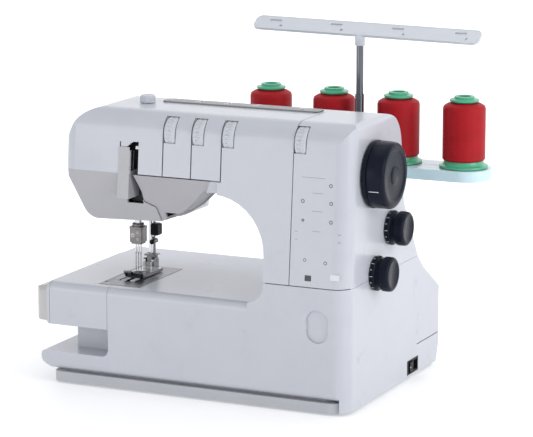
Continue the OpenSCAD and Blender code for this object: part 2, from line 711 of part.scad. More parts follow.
module thread_guide_bar() color([0.9, 0.92, 0.95]) {
  w = 21;
  t = 3;
  outline = [[guide_len / 2, -w / 2, 7], [guide_len / 2, w / 2, 7], [-guide_len / 2, w / 2, 7],
    [-guide_len / 2, -w / 2, 7]];
  translate([-stand_x, pole_y, guide_z]) difference() {
    union() {
      guide_plane() plan_prism(rounded(outline), 0, t);
      cylinder(r = 5.5, h = 24, center = true);
    }
    guide_plane() {
      translate([-5, -6, t]) cylinder(r = 20, h = 40);
      for (i = [0 : 3]) translate([72 * (i - 1.5), 4, -1]) {
        translate([-6, -1.3, 0]) cube([12, 2.6, t + 2]);
        for (s = [-1, 1]) translate([6 * s, 0, 0]) cylinder(r = 1.3, h = t + 2);
        translate([9, -8.5, 0]) cylinder(r = 1.6, h = t + 2);
      }
    }
    translate([0, 0, -20]) cylinder(r = rod_r + fit_gap, h = 14.4);
  }
}

machine() base_plate();
machine() rubber_feet();
machine() lower_casing();
machine() rear_motor_cover();
machine() arm_end_cap();
machine() looper_cover();
machine() head_casing();
machine() column_panel();
machine() upper_rear_cover();
machine() needle_head_cover();
machine() top_thread_plate();
machine() pressure_dial();
machine() tension_dial(0);  // tension_dial_left
machine() tension_dial(1);  // tension_dial_middle
machine() tension_dial(2);  // tension_dial_right
machine() tension_dial(3);  // tension_dial_looper
machine() tension_discs();
machine() arm_frame();
machine() shaft_bushes();
machine() main_shaft();
machine() hand_wheel();
machine() upper_pulley();
machine() needle_crank();
machine() timing_belt();
machine() lower_shaft();
machine() lower_pulley();
machine() motor();
machine() motor_pulley();
machine() motor_belt();
machine() needle_bar();
machine() needle_clamp();
machine() needles();
machine() take_up_lever();
machine() presser_bar();
machine() presser_spring();
machine() foot_holder();
machine() presser_foot();
machine() presser_lifter();
machine() needle_plate();
machine() main_feed_dog();
machine() differential_feed_dog();
machine() looper();
machine() side_knob(stitch_knob);  // stitch_length_dial
machine() side_knob(feed_knob);  // differential_feed_dial
machine() power_inlet();
machine() power_switch();
machine() sewing_lamp();
machine() spool_shelf();
machine() spool_pins();
machine() cone_core(0);  // cone_core_1
machine() cone_core(1);  // cone_core_2
machine() cone_thread(0);  // cone_thread_1
machine() cone_thread(1);  // cone_thread_2
machine() cone_core(2);  // cone_core_3
machine() cone_core(3);  // cone_core_4
machine() cone_thread(2);  // cone_thread_3
machine() cone_thread(3);  // cone_thread_4
machine() pole_tube();
machine() pole_rod();
machine() thread_guide_bar();
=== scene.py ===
import json
import math

import bmesh
import bpy
from mathutils import Matrix, Vector

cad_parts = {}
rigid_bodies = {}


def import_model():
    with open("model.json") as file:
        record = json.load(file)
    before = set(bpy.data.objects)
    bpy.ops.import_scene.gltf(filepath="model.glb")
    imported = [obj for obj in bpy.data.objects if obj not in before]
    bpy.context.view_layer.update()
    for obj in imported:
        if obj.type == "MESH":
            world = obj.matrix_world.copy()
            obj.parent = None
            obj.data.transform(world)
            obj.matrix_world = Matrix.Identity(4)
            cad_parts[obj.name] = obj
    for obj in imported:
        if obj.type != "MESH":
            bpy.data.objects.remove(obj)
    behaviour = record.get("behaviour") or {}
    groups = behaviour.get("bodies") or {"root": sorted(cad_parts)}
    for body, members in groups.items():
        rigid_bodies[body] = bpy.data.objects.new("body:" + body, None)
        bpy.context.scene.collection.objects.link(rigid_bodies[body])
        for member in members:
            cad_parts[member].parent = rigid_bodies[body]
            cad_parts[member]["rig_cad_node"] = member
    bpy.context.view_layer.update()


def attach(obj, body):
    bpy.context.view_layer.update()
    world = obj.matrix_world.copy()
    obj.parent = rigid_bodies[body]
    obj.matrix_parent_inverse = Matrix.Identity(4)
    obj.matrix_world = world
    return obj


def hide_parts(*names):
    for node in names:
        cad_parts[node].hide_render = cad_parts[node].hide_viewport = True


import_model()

# Positions below are in millimetres from the lower front right corner of the body.
ORIGIN = Vector((148.3, -132.25, 0))
AXES = {"x": (0, 1, 2), "y": (1, 2, 0), "z": (2, 0, 1)}
SEAM_Z = 133  # seam between the lower and the upper casing
LEAN = 0.085  # how far back the upper front goes for each mm above the seam
WHEEL_AXIS = (66, 244)
DIAL_AXIS = (26.7, 278.5)
NEEDLE_AXIS = (-273, 66)
NEEDLE_PITCH = 3
POLE_AXIS = (-74.65, 206)
CONE_Y = 224.5
CONE_PITCH = 76.1
CONE_FOOT_Z = 228.0


# ---------------------------------------------------------------- materials
def node(tree, kind, **values):
    made = tree.nodes.new(kind)
    for key, value in values.items():
        if key in made.inputs:
            made.inputs[key].default_value = value
        else:
            setattr(made, key, value)
    return made


def surface(name, colour, tint, rough, grain, bump, stretch=(1, 1, 1), distance=0.0002, patch=28,
            **sockets):
    """A Principled material: two colours and two roughnesses mixed by noise, and a grain bump."""
    material = bpy.data.materials.new(name)
    material.use_nodes = True
    tree = material.node_tree
    shader = tree.nodes["Principled BSDF"]
    coords = node(tree, "ShaderNodeTexCoord")
    mapping = node(tree, "ShaderNodeMapping", Scale=stretch)
    tree.links.new(coords.outputs["Object"], mapping.inputs["Vector"])
    broad = node(tree, "ShaderNodeTexNoise", Scale=patch, Detail=3)
    fine = node(tree, "ShaderNodeTexNoise", Scale=grain, Detail=5, Roughness=0.6)
    for noise in (broad, fine):
        tree.links.new(mapping.outputs["Vector"], noise.inputs["Vector"])
    ramp = node(tree, "ShaderNodeValToRGB")
    ramp.color_ramp.elements[0].position = 0.3
    ramp.color_ramp.elements[1].position = 0.7
    ramp.color_ramp.elements[0].color = (*colour, 1)
    ramp.color_ramp.elements[1].color = (*tint, 1)
    mixed = node(tree, "ShaderNodeMath", operation="MULTIPLY_ADD")
    mixed.inputs[1].default_value = 0.6
    tree.links.new(broad.outputs["Fac"], mixed.inputs[0])
    part = node(tree, "ShaderNodeMath", operation="MULTIPLY")
    part.inputs[1].default_value = 0.4
    tree.links.new(fine.outputs["Fac"], part.inputs[0])
    tree.links.new(part.outputs[0], mixed.inputs[2])
    tree.links.new(mixed.outputs[0], ramp.inputs["Fac"])
    tree.links.new(ramp.outputs["Color"], shader.inputs["Base Color"])
    spread = node(tree, "ShaderNodeMapRange")
    spread.inputs["From Min"].default_value = 0.3
    spread.inputs["From Max"].default_value = 0.7
    spread.inputs["To Min"].default_value = rough[0]
    spread.inputs["To Max"].default_value = rough[1]
    tree.links.new(mixed.outputs[0], spread.inputs["Value"])
    tree.links.new(spread.outputs["Result"], shader.inputs["Roughness"])
    relief = node(tree, "ShaderNodeBump", Strength=bump, Distance=distance)
    tree.links.new(fine.outputs["Fac"], relief.inputs["Height"])
    tree.links.new(relief.outputs["Normal"], shader.inputs["Normal"])
    for key, value in sockets.items():
        shader.inputs[key.replace("_", " ")].default_value = value
    return material


case_white = surface("moulded_case_plastic", (0.492, 0.508, 0.558), (0.525, 0.541, 0.59),
                     (0.26, 0.34), 1100, 0.05, Coat_Weight=0.2, Coat_Roughness=0.15)
# The case plastic darkened to the chin's grey: painted shade for the needle head cover, which faces down.
shaded_head_grey = surface("case_plastic_painted_shade", (0.377, 0.369, 0.394), (0.41, 0.402, 0.426),
                    (0.34, 0.44), 1300, 0.1)
base_grey = surface("base_plastic", (0.426, 0.435, 0.467), (0.459, 0.467, 0.5),
                    (0.36, 0.48), 1500, 0.14)
# The case plastic with a warmer tone: painted light for the end cap, which faces left.
cap_warm_lit_plastic = surface("cap_plastic", (0.492, 0.484, 0.48), (0.525, 0.517, 0.508),
                    (0.28, 0.38), 1200, 0.08, Coat_Weight=0.15, Coat_Roughness=0.2)
dark_steel = surface("dark_clamp_steel", (0.131, 0.125, 0.123), (0.246, 0.238, 0.234),
                     (0.26, 0.42), 900, 0.15, stretch=(1, 1, 4), Metallic=1.0)
shelf_plastic = surface("shelf_plastic", (0.56, 0.735, 0.80), (0.60, 0.77, 0.83),
                        (0.22, 0.32), 1000, 0.06, Coat_Weight=0.2)
navy = surface("navy_gloss_plastic", (0.008, 0.01, 0.018), (0.012, 0.015, 0.026),
               (0.20, 0.30), 700, 0.04, Specular_IOR_Level=0.08)
black = surface("black_plastic", (0.01, 0.01, 0.011), (0.018, 0.018, 0.021),
                (0.32, 0.45), 1600, 0.15, Specular_IOR_Level=0.12)
rubber = surface("rubber", (0.013, 0.013, 0.014), (0.023, 0.023, 0.024),
                 (0.62, 0.8), 2200, 0.3)
belt = surface("belt_rubber", (0.016, 0.016, 0.016), (0.029, 0.028, 0.027),
               (0.5, 0.7), 1800, 0.25, stretch=(1, 1, 3))
dial_white = surface("dial_plastic", (0.525, 0.549, 0.59), (0.566, 0.582, 0.623),
                     (0.26, 0.36), 1000, 0.06, Coat_Weight=0.2)
pin_white = surface("pin_plastic", (0.558, 0.574, 0.607), (0.607, 0.623, 0.656),
                    (0.3, 0.4), 1000, 0.08)
steel = surface("brushed_steel", (0.344, 0.353, 0.369), (0.451, 0.459, 0.476),
                (0.22, 0.36), 900, 0.12, stretch=(1, 1, 6), Metallic=1.0)
plate_steel = surface("needle_plate_steel", (0.164, 0.168, 0.176), (0.23, 0.234, 0.242),
                      (0.26, 0.4), 800, 0.15, stretch=(7, 1, 1), Metallic=1.0)
foot_steel = surface("foot_steel", (0.295, 0.295, 0.303), (0.394, 0.394, 0.402),
                     (0.16, 0.28), 700, 0.08, stretch=(1, 4, 1), Metallic=1.0)
chrome = surface("needle_chrome", (0.574, 0.582, 0.599), (0.64, 0.648, 0.656),
                 (0.08, 0.14), 600, 0.03, Metallic=1.0)
pole_chrome = surface("dark_chrome", (0.131, 0.135, 0.152), (0.18, 0.184, 0.205),
                      (0.10, 0.18), 500, 0.04, stretch=(4, 4, 1), Metallic=1.0)
cast = surface("cast_aluminium", (0.344, 0.353, 0.361), (0.426, 0.435, 0.443),
               (0.38, 0.55), 900, 0.4, Metallic=1.0)
brass = surface("sintered_brass", (0.394, 0.271, 0.107), (0.476, 0.344, 0.156),
                (0.3, 0.45), 1500, 0.2, Metallic=1.0)
motor_paint = surface("motor_paint", (0.066, 0.07, 0.078), (0.09, 0.094, 0.102),
                      (0.42, 0.56), 900, 0.25)
mint = surface("mint_cone_plastic", (0.061, 0.394, 0.221), (0.082, 0.451, 0.262),
               (0.28, 0.38), 900, 0.08, Coat_Weight=0.2)
clear_white = surface("frosted_clear_plastic", (0.70, 0.73, 0.79), (0.74, 0.77, 0.82),
                      (0.16, 0.26), 500, 0.04, Transmission_Weight=0.35, IOR=1.46)
lamp_glass = surface("lamp_glass", (0.738, 0.722, 0.656), (0.779, 0.763, 0.713),
                     (0.1, 0.2), 400, 0.05, Transmission_Weight=0.5)
ink = surface("panel_ink", (0.164, 0.189, 0.238), (0.213, 0.238, 0.287),
              (0.4, 0.5), 1500, 0.1)
faint_ink = surface("faint_tick_ink", (0.40, 0.42, 0.46), (0.44, 0.46, 0.50),
                    (0.4, 0.5), 1500, 0.1)
guide_grey = surface("thread_guide_grey", (0.37, 0.37, 0.385), (0.42, 0.42, 0.435),
                     (0.22, 0.34), 900, 0.08, stretch=(1, 1, 0.1), Coat_Weight=0.2)
pale_ink = surface("pale_label", (0.656, 0.681, 0.705), (0.705, 0.722, 0.738),
                   (0.35, 0.45), 1500, 0.1)
dark_ink = surface("dark_label", (0.041, 0.045, 0.053), (0.066, 0.07, 0.078),
                   (0.4, 0.5), 1500, 0.1)
# Near-black sheet colour: painted shadow for recesses that lie in shade.
shadow = surface("painted_shadow_sheet", (0.025, 0.026, 0.03), (0.041, 0.043, 0.046),
                 (0.55, 0.7), 1500, 0.1)


def shaded_chin_case(name, limit_x, limit_z):
    """The case plastic, with painted shade below limit_z and left of limit_x, where the head's chin faces
    down.
    """
    material = surface(name, (0.492, 0.508, 0.558), (0.525, 0.541, 0.59), (0.26, 0.34), 1100, 0.05,
                       Coat_Weight=0.2, Coat_Roughness=0.15)
    tree = material.node_tree
    shader = tree.nodes["Principled BSDF"]
    white = shader.inputs["Base Color"].links[0].from_socket
    coords = node(tree, "ShaderNodeTexCoord")
    split = node(tree, "ShaderNodeSeparateXYZ")
    tree.links.new(coords.outputs["Object"], split.inputs["Vector"])
    below = node(tree, "ShaderNodeMapRange")
    below.inputs["From Min"].default_value = limit_z + 0.0003
    below.inputs["From Max"].default_value = limit_z - 0.0003
    tree.links.new(split.outputs["Z"], below.inputs["Value"])
    left = node(tree, "ShaderNodeMath", operation="LESS_THAN")
    left.inputs[1].default_value = limit_x
    tree.links.new(split.outputs["X"], left.inputs[0])
    shade_mask = node(tree, "ShaderNodeMath", operation="MULTIPLY")
    tree.links.new(below.outputs["Result"], shade_mask.inputs[0])
    tree.links.new(left.outputs[0], shade_mask.inputs[1])
    # Painted shade: the case colour multiplied darker on the downward-facing chin.
    chin_shade = node(tree, "ShaderNodeMix", data_type="RGBA", blend_type="MULTIPLY")
    tree.links.new(shade_mask.outputs[0], chin_shade.inputs["Factor"])
    tree.links.new(white, chin_shade.inputs[6])
    chin_shade.inputs[7].default_value = (0.79, 0.76, 0.73, 1)
    tree.links.new(chin_shade.outputs[2], shader.inputs["Base Color"])
    return material


def thread_material():
    """Wound polyester thread: crossed fine ridges in its bump, over a red mixed by noise."""
    material = surface("wound_red_thread", (0.328, 0.004, 0.008), (0.426, 0.008, 0.015),
                       (0.45, 0.6), 1400, 0.2, stretch=(1, 1, 3),
                       Specular_IOR_Level=0.2)
    tree = material.node_tree
    shader = tree.nodes["Principled BSDF"]
    coords = node(tree, "ShaderNodeTexCoord")
    heights = []
    for lean in (14, -14):
        mapping = node(tree, "ShaderNodeMapping", Rotation=(math.radians(lean), math.radians(lean), 0))
        wave = node(tree, "ShaderNodeTexWave", Scale=380, Distortion=1.2, bands_direction="Z")
        wave.inputs["Detail Scale"].default_value = 3.0
        tree.links.new(coords.outputs["Object"], mapping.inputs["Vector"])
        tree.links.new(mapping.outputs["Vector"], wave.inputs["Vector"])
        heights.append(wave)
    top = node(tree, "ShaderNodeMath", operation="MAXIMUM")
    for i, wave in enumerate(heights):
        tree.links.new(wave.outputs["Fac"], top.inputs[i])
    relief = node(tree, "ShaderNodeBump", Strength=0.35, Distance=0.0003)
    tree.links.new(top.outputs[0], relief.inputs["Height"])
    tree.links.new(relief.outputs["Normal"], shader.inputs["Normal"])
    return material


thread_red = thread_material()
# The head casing, with painted shade on its downward-facing chin below 234 mm.
head_plastic = shaded_chin_case("head_case_plastic_painted_chin_shade", -0.0172, 0.234)


# ---------------------------------------------------------------- mesh tools
def place(point):
    return (Vector(point) + ORIGIN) / 1000


def on_axis(axis, along, u, v):
    """A point from its place along an axis and the two places across it, in cyclic order."""
    point = [0.0, 0.0, 0.0]
    i, j, k = AXES[axis]
    point[i], point[j], point[k] = along, u, v
    return point


def rounded(corners, steps=8):
    """The points of an outline of corners (u, v, radius), with an arc at each rounded corner."""
    points = []
    count = len(corners)
    for i in range(count):
        here = Vector(corners[i][:2])
        before = (here - Vector(corners[i - 1][:2])).normalized()
        after = (Vector(corners[(i + 1) % count][:2]) - here).normalized()
        radius = corners[i][2]
        turn = math.atan2(before.x * after.y - before.y * after.x, before.dot(after))
        if radius <= 0 or abs(turn) < 1e-6:
            points.append((here.x, here.y))
            continue
        side = math.copysign(1, turn)
        normal = Vector((-before.y, before.x))
        start = here - before * radius * math.tan(abs(turn) / 2)
        middle = start + side * radius * normal
        for k in range(steps + 1):
            arm = -side * radius * normal
            spin = Matrix.Rotation(turn * k / steps, 2)
            point = middle + spin @ arm
            points.append((point.x, point.y))
    return points


class Solid:
    """Gathers closed shapes, in millimetres, into one mesh object."""

    def __init__(self):
        self.points = []
        self.faces = []

    def add(self, points, faces):
        base = len(self.points)
        self.points += [tuple(p) for p in points]
        self.faces += [[base + i for i in f] for f in faces]
        return self

    def prism(self, outline, axis, low, high):
        """An outline of (u, v) points, drawn out along an axis."""
        count = len(outline)
        points = [on_axis(axis, low, u, v) for u, v in outline]
        points += [on_axis(axis, high, u, v) for u, v in outline]
        faces = [list(range(count))[::-1], list(range(count, 2 * count))]
        faces += [[i, (i + 1) % count, count + (i + 1) % count, count + i] for i in range(count)]
        return self.add(points, faces)

    def block(self, low, high, radius=0.0, axis="z"):
        """A box, with the edges along one axis rounded."""
        i, j, k = AXES[axis]
        (u0, v0), (u1, v1) = (low[j], low[k]), (high[j], high[k])
        corners = [(u0, v0, radius), (u1, v0, radius), (u1, v1, radius), (u0, v1, radius)]
        return self.prism(rounded(corners, 5), axis, low[i], high[i])

    def turned(self, profile, axis, centre, segments=96, shape=None):
        """A profile of (radius, along) turned about an axis. shape(angle, radius, along) moves it."""
        points, faces, rings = [], [], []
        for radius, along in profile:
            if radius < 1e-6:
                rings.append([len(points)] * segments)
                points.append(on_axis(axis, along, *centre))
                continue
            rings.append(list(range(len(points), len(points) + segments)))
            for s in range(segments):
                angle = 2 * math.pi * s / segments
                r = shape(angle, radius, along) if shape else radius
                points.append(on_axis(axis, along, centre[0] + r * math.cos(angle),
                                      centre[1] + r * math.sin(angle)))
        for a, b in zip(rings, rings[1:]):
            for s in range(segments):
                t = (s + 1) % segments
                face = [a[s], a[t], b[t], b[s]]
                faces.append([p for n, p in enumerate(face) if p != face[n - 1]])
        return self.add(points, faces)

    def rod(self, axis, radius, low, high, centre, segments=40, edge=0.25):
        """A chamfered cylinder."""
        edge = min(edge, radius / 2, abs(high - low) / 3)
        profile = [(0, low), (radius - edge, low), (radius, low + edge), (radius, high - edge),
                   (radius - edge, high), (0, high)]
        return self.turned(profile, axis, centre, segments)

    def ribbon(self, path, normals, wide, half, sink, rise):
        """A flat strip along a path. wide is the direction across it, normals point outwards."""
        points, faces = [], []
        for here, normal in zip(path, normals):
            here, normal, across = Vector(here), Vector(normal), Vector(wide) * half
            points += [here - across - normal * sink, here + across - normal * sink,
                       here + across + normal * rise, here - across + normal * rise]
        for i in range(len(path) - 1):
            for s in range(4):
                t = (s + 1) % 4
                faces.append([4 * i + s, 4 * i + t, 4 * i + 4 + t, 4 * i + 4 + s])
        last = len(points)
        faces += [[3, 2, 1, 0], [last - 4, last - 3, last - 2, last - 1]]
        return self.add(points, faces)

    def make(self, name, material, body, replaces=(), smooth=35, bevel=0.0):
        """Makes the object, rides it on its body and hides the CAD nodes it replaces."""
        mesh = bpy.data.meshes.new(name)
        mesh.from_pydata([place(p) for p in self.points], [], self.faces)
        mesh.update()
        made = bpy.data.objects.new(name, mesh)
        bpy.context.scene.collection.objects.link(made)
        mesh.materials.append(material)
        outward(mesh)
        polish(made, smooth, bevel)
        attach(made, body)
        if replaces:
            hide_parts(*replaces)
        return made


def outward(mesh):
    """Turns every face outwards."""
    shape = bmesh.new()
    shape.from_mesh(mesh)
    bmesh.ops.recalc_face_normals(shape, faces=shape.faces)
    shape.to_mesh(mesh)
    shape.free()


def polish(made, smooth, bevel, weld=False):
    """Smooth shading up to an angle, and a small rounded edge."""
    made.data.polygons.foreach_set("use_smooth", [True] * len(made.data.polygons))
    if weld:
        made.modifiers.new("weld", "WELD").merge_threshold = 0.00001
    if bevel:
        edge = made.modifiers.new("edge", "BEVEL")
        edge.width = bevel / 1000
        edge.segments = 2
        edge.limit_method = "ANGLE"
        edge.angle_limit = math.radians(smooth)
        edge.harden_normals = False
        made.modifiers.new("flat_faces", "WEIGHTED_NORMAL").keep_sharp = True
    else:
        made.data.set_sharp_from_angle(angle=math.radians(smooth))


# ---------------------------------------------------------------- camera, light, floor
scene = bpy.context.scene
camera_data = bpy.data.cameras.new("camera")
camera_data.lens = 177.1
camera_data.sensor_width = 36
camera_data.shift_x = -0.0101
camera_data.shift_y = -0.0077
camera = bpy.data.objects.new("camera", camera_data)
camera.location = (1.1709, -2.5146, 0.7288)
camera.rotation_euler = (math.radians(90 - 11.25), 0, math.radians(24.91))
scene.collection.objects.link(camera)
scene.camera = camera


def area_light(name, spot, aim, size, power, colour=(1, 1, 1)):
    data = bpy.data.lights.new(name, "AREA")
    data.shape = "RECTANGLE"
    data.size, data.size_y = size
    data.energy = power
    data.color = colour
    lamp = bpy.data.objects.new(name, data)
    lamp.location = spot
    lamp.rotation_euler = (Vector(aim) - Vector(spot)).to_track_quat("-Z", "Y").to_euler()
    scene.collection.objects.link(lamp)


area_light("softbox_top", (0, 0.15, 1.7), (0, 0.05, 0.1), (1.2, 1.2), 3.2)
area_light("softbox_left", (-1.0, -1.8, 0.5), (0, 0, 0.2), (1.0, 1.0), 5.6)
area_light("softbox_right", (1.9, -0.3, 0.8), (0, 0, 0.16), (1.0, 1.2), 14)
area_light("softbox_wall", (0.1, 0.9, 1.6), (0, 1.9, 1.0), (2.0, 1.0), 2)
scene.view_settings.view_transform = "Standard"

world = bpy.data.worlds.new("studio")
world.use_nodes = True
world.node_tree.nodes["Background"].inputs["Color"].default_value = (0.96, 0.975, 1.0, 1)
world.node_tree.nodes["Background"].inputs["Strength"].default_value = 0.70
scene.world = world

floor_mesh = bpy.data.meshes.new("floor")
reach, rise = 3.0, 1.6
sweep = [(-reach, 0.0), (1.6, 0.0)]
sweep += [(1.6 + 0.6 * math.sin(a), 0.6 - 0.6 * math.cos(a))
          for a in [math.pi / 2 * k / 16 for k in range(1, 17)]]
sweep += [(2.2, 3.0)]
floor_mesh.from_pydata([(x, y, z) for y, z in sweep for x in (-reach, reach)], [],
                       [[2 * i, 2 * i + 1, 2 * i + 3, 2 * i + 2] for i in range(len(sweep) - 1)])
floor = bpy.data.objects.new("floor", floor_mesh)
floor_paint = surface("studio_floor", (0.86, 0.86, 0.87), (0.88, 0.88, 0.89), (0.5, 0.6), 40,
                      0.0, Emission_Color=(1, 1, 1, 1))
floor_tree = floor_paint.node_tree
distance = node(floor_tree, "ShaderNodeVectorMath", operation="LENGTH")
floor_tree.links.new(node(floor_tree, "ShaderNodeTexCoord").outputs["Object"],
                     distance.inputs[0])
glow = node(floor_tree, "ShaderNodeMapRange")
glow.inputs["From Min"].default_value = 0.3
glow.inputs["From Max"].default_value = 0.8
glow.inputs["To Min"].default_value = 0.28
glow.inputs["To Max"].default_value = 0.40
floor_tree.links.new(distance.outputs["Value"], glow.inputs["Value"])
floor_tree.links.new(glow.outputs["Result"],
                     floor_tree.nodes["Principled BSDF"].inputs["Emission Strength"])
floor_mesh.materials.append(floor_paint)
floor_mesh.polygons.foreach_set("use_smooth", [True] * len(floor_mesh.polygons))
scene.collection.objects.link(floor)

# ---------------------------------------------------------------- CAD nodes that stay
# material, edge radius in mm
KEPT = {
    "base_plate": (base_grey, 0.8),
    "lower_casing": (case_white, 0.7),
    "rear_motor_cover": (case_white, 0.7),
    "arm_end_cap": (cap_warm_lit_plastic, 0.8),
    "looper_cover": (case_white, 0.5),
    "head_casing": (head_plastic, 0.6),
    "column_panel": (case_white, 0.6),
    "upper_rear_cover": (case_white, 0.6),
    "needle_head_cover": (shaded_head_grey, 0.5),
    "top_thread_plate": (plate_steel, 0.3),
    "tension_discs": (steel, 0.1),
    "arm_frame": (cast, 0.5),
    "shaft_bushes": (brass, 0.2),
    "main_shaft": (steel, 0.3),
    "upper_pulley": (steel, 0.4),
    "needle_crank": (steel, 0.4),
    "timing_belt": (belt, 0.2),
    "lower_shaft": (steel, 0.3),
    "lower_pulley": (steel, 0.4),
    "motor": (motor_paint, 0.8),
    "motor_pulley": (steel, 0.3),
    "motor_belt": (belt, 0.2),
    "needle_bar": (chrome, 0.3),
    "take_up_lever": (steel, 0.3),
    "presser_bar": (chrome, 0.3),
    "presser_spring": (steel, 0),
    "foot_holder": (dark_steel, 0.4),
    "presser_foot": (foot_steel, 0.35),
    "presser_lifter": (black, 0.8),
    "needle_plate": (plate_steel, 0.3),
    "main_feed_dog": (steel, 0.08),
    "differential_feed_dog": (steel, 0.08),
    "looper": (chrome, 0.3),
    "power_inlet": (black, 0.3),
    "power_switch": (black, 0.4),
    "sewing_lamp": (lamp_glass, 0.2),
    "spool_shelf": (shelf_plastic, 0.9),
    "spool_pins": (pin_white, 0.3),
    "pole_tube": (pole_chrome, 0.3),
    "pole_rod": (pole_chrome, 0.4),
    "thread_guide_bar": (clear_white, 0.5),
}


for name, (material, bevel) in KEPT.items():
    for part in [o for o in scene.objects if o.get("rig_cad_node") == name]:
        for place_in in part.material_slots:
            place_in.material = material
        if not part.material_slots:
            part.data.materials.append(material)
        polish(part, 32, bevel, weld=True)

# ---------------------------------------------------------------- hand wheel and knobs
def ribs(count, depth, above):
    """A shape for turned(): ribs on what lies outside a radius."""
    def shape(angle, radius, along):
        if radius <= above:
            return radius
        return radius - depth * (0.5 + 0.5 * math.cos(count * angle)) ** 2

    return shape


def tick(target, start, arm, long, half, near, far):
    """A raised line along X on a rim, near and far mm proud at its two ends."""
    across = Vector((0, -arm.z, arm.y))
    ends = [(0, -1, near), (long, -1, far), (long, 1, far), (0, 1, near)]
    corners = [start + across * half * s + Vector((t, 0, 0)) for t, s, u in ends]
    corners += [start + across * half * s + Vector((t, 0, 0)) + arm * u for t, s, u in ends]
    target.add(corners, [[3, 2, 1, 0], [4, 5, 6, 7], [0, 1, 5, 4], [1, 2, 6, 5],
                         [2, 3, 7, 6], [3, 0, 4, 7]])


wheel = Solid()
wheel.turned([(0, 17.8), (6.2, 17.8), (6.2, 1.5), (33.8, 1.5), (34.9, 1.8), (35.4, 2.5),
              (35.4, 4.7), (35.0, 5.6), (34.2, 5.9), (33.9, 6.3), (34.1, 6.8), (34.8, 7.2),
              (35.0, 8.0), (34.9, 14.0), (34.7, 20.0), (34.4, 22.4), (33.6, 24.0), (32.2, 25.0),
              (30.2, 25.45), (27.6, 25.4), (26.0, 25.0), (25.0, 24.5), (23.6, 24.2), (10.4, 24.0),
              (9.2, 24.2), (8.6, 24.7), (7.6, 24.9), (0, 24.9)], "x", WHEEL_AXIS, 160)
wheel.make("hand_wheel_turned", navy, "main_shaft", ["hand_wheel"], 40)
index = Solid()
arm = Vector((0, -math.cos(math.radians(21)), -math.sin(math.radians(21))))
start = Vector((0, *WHEEL_AXIS))
index.ribbon([start + arm * 34.9 + Vector((x, 0, 0)) for x in (9, 12, 16, 20)],
             [arm] * 4, (0, arm.z, -arm.y), 0.35, 0.5, 0.12)
index.make("hand_wheel_index_line", pale_ink, "main_shaft")


def knob(name, dial, y, z):
    """A knob on a dial's body, with marks round its skirt."""
    def fluted(angle, radius, along):
        depth = 0.35 if 11.4 < along < 19.2 else 0.0
        return radius - depth * (0.5 + 0.5 * math.cos(24 * angle)) ** 4

    grip = Solid()
    grip.turned([(0, 0.8), (17.6, 0.8), (18.2, 1.2), (18.4, 2.0), (18.4, 4.6), (18.0, 5.5),
                 (16.8, 6.1), (15.4, 6.8), (14.9, 7.8), (15.1, 8.9), (16.2, 9.8), (17.4, 10.4),
                 (18.0, 11.2), (18.2, 12.2), (18.2, 15.0), (18.1, 18.0), (17.6, 19.6),
                 (16.4, 20.6), (14.6, 21.0), (13.2, 20.9), (12.4, 20.5), (0, 20.3)],
                "x", (y, z), 240, fluted)
    grip.rod("x", 3, -14, 1, (y, z))
    grip.make(name, navy, dial, [dial], 40)
    marks = Solid()
    for i in range(9):
        angle = math.radians(180 + 22 * (i - 4))
        long = 3.2 if i % 2 == 0 else 2.0
        arm = Vector((0, math.cos(angle), math.sin(angle)))
        tick(marks, Vector((1.4, y, z)) + arm * 18.2, arm, long, 0.3, 0.3, 0.2)
    marks.make(name + "_marks", pale_ink, dial)


knob("stitch_length_knob", "stitch_length_dial", 114, 179)
knob("differential_feed_knob", "differential_feed_dial", 74, 138)

# ---------------------------------------------------------------- tension dials
# distance of each dial from the right side of the body
DIALS = {"tension_dial_left": 206.5, "tension_dial_middle": 173.5,
         "tension_dial_right": 139, "tension_dial_looper": 57.5}
for name, x in DIALS.items():
    dial = Solid()
    dial.turned([(2.56, -x - 5.0), (11.6, -x - 5.0), (12.4, -x - 5.9), (15.6, -x - 6.0),
                 (16.4, -x - 5.6), (16.9, -x - 4.6), (17.0, -x - 3.2), (17.0, -x - 1.2),
                 (16.7, -x - 0.9), (16.7, -x + 0.9), (17.0, -x + 1.2), (17.0, -x + 3.2),
                 (16.9, -x + 4.6), (16.4, -x + 5.6), (15.6, -x + 6.0), (12.4, -x + 5.9),
                 (11.6, -x + 5.0), (2.56, -x + 5.0), (2.56, -x - 5.0)], "x", DIAL_AXIS, 384,
                ribs(48, 0.4, 16.4))
    dial.make(name + "_ribbed", dial_white, name, [name], 40)
    ticks = Solid()
    for i in range(11):
        angle = math.radians(90 + 15 * i)
        arm = Vector((0, math.cos(angle), math.sin(angle)))
        long = 1.9 if i % 5 else 3.4
        tick(ticks, Vector((-x - 3.0, *DIAL_AXIS)) + arm * 16.3, arm, long, 0.22, 0.7, 0.7)
    ticks.make(name + "_ticks", faint_ink, name)


# ---------------------------------------------------------------- cones and thread
def wound(angle, radius, along):
    """Crossed turns of thread on the outside of the package."""
    if radius < 15.5:
        return radius
    one = 0.5 + 0.5 * math.sin(9 * angle + 5.2 * along)
    two = 0.5 + 0.5 * math.sin(9 * angle - 5.2 * along)
    return radius - 0.28 + 0.28 * max(one, two) ** 0.5


